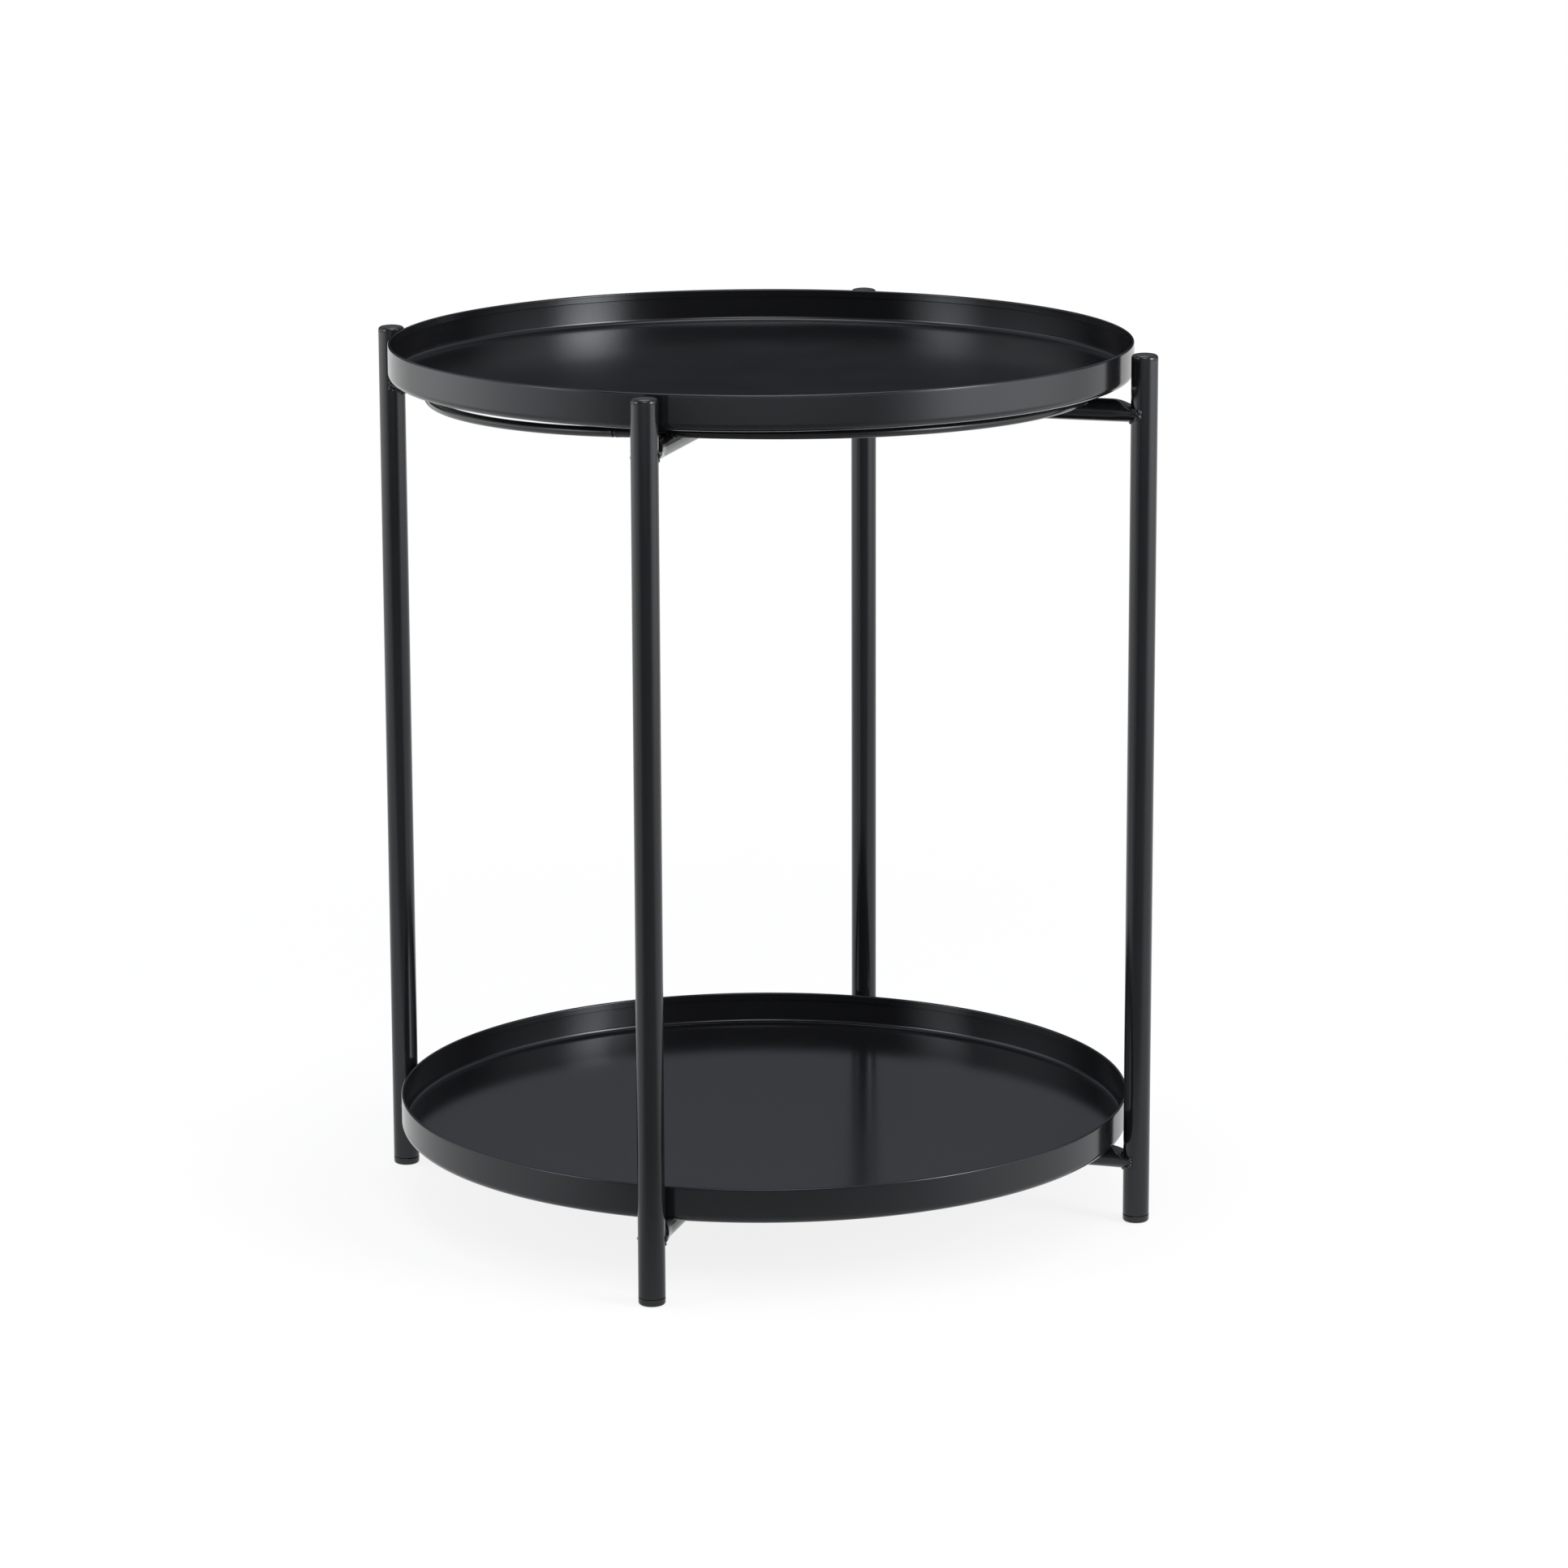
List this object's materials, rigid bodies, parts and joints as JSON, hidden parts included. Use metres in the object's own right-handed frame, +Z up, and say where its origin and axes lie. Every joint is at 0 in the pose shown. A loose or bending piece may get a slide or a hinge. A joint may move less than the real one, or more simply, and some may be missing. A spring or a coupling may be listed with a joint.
{
  "type": "folding side table",
  "caption": "Black steel side table with an upper and a lower round tray, upright tube legs, and crossed bars that fold about a central pivot.",
  "frame": {"origin": "on the floor, at the middle of the table, on the fold axis", "axes": "+Z up, +X from the left leg to the right leg, +Y from the front leg to the back leg"},
  "size_m": [0.457, 0.457, 0.5],
  "materials": {
    "powder_coat": "semi-gloss black powder coat on steel",
    "black_plastic": "moulded black plastic",
    "zinc_plate": "zinc plate"
  },
  "bodies": {
    "side_frame": {"leg_right": "powder_coat", "cap_right": "black_plastic", "foot_right": "black_plastic", "leg_left": "powder_coat", "cap_left": "black_plastic", "foot_left": "black_plastic", "side_bar_upper": "powder_coat", "side_bar_lower": "powder_coat", "pivot_bolt_upper": "zinc_plate", "pivot_washer_upper": "zinc_plate", "nut_washer_upper": "zinc_plate", "pivot_nut_upper": "zinc_plate", "pivot_bolt_lower": "zinc_plate", "pivot_washer_lower": "zinc_plate", "nut_washer_lower": "zinc_plate", "pivot_nut_lower": "zinc_plate"},
    "end_frame": {"leg_front": "powder_coat", "cap_front": "black_plastic", "foot_front": "black_plastic", "leg_back": "powder_coat", "cap_back": "black_plastic", "foot_back": "black_plastic", "end_bar_upper": "powder_coat", "end_bar_lower": "powder_coat", "support_ring": "powder_coat"},
    "upper_tray": {"upper_tray": "powder_coat"},
    "lower_tray": {"lower_tray": "powder_coat"}
  },
  "joints": [
    {"name": "frame_fold", "type": "hinge", "parent": "side_frame", "child": "end_frame", "pos_m": [0, 0, 0.25], "axis": [0, 0, 1], "range_deg": [-75, 75]},
    {"name": "upper_tray_lift", "type": "slide", "parent": "end_frame", "child": "upper_tray", "axis": [0, 0, 1], "range_m": [0, 0.12]},
    {"name": "lower_tray_lift", "type": "slide", "parent": "side_frame", "child": "lower_tray", "axis": [0, 0, 1], "range_m": [0, 0.39]}
  ]
}
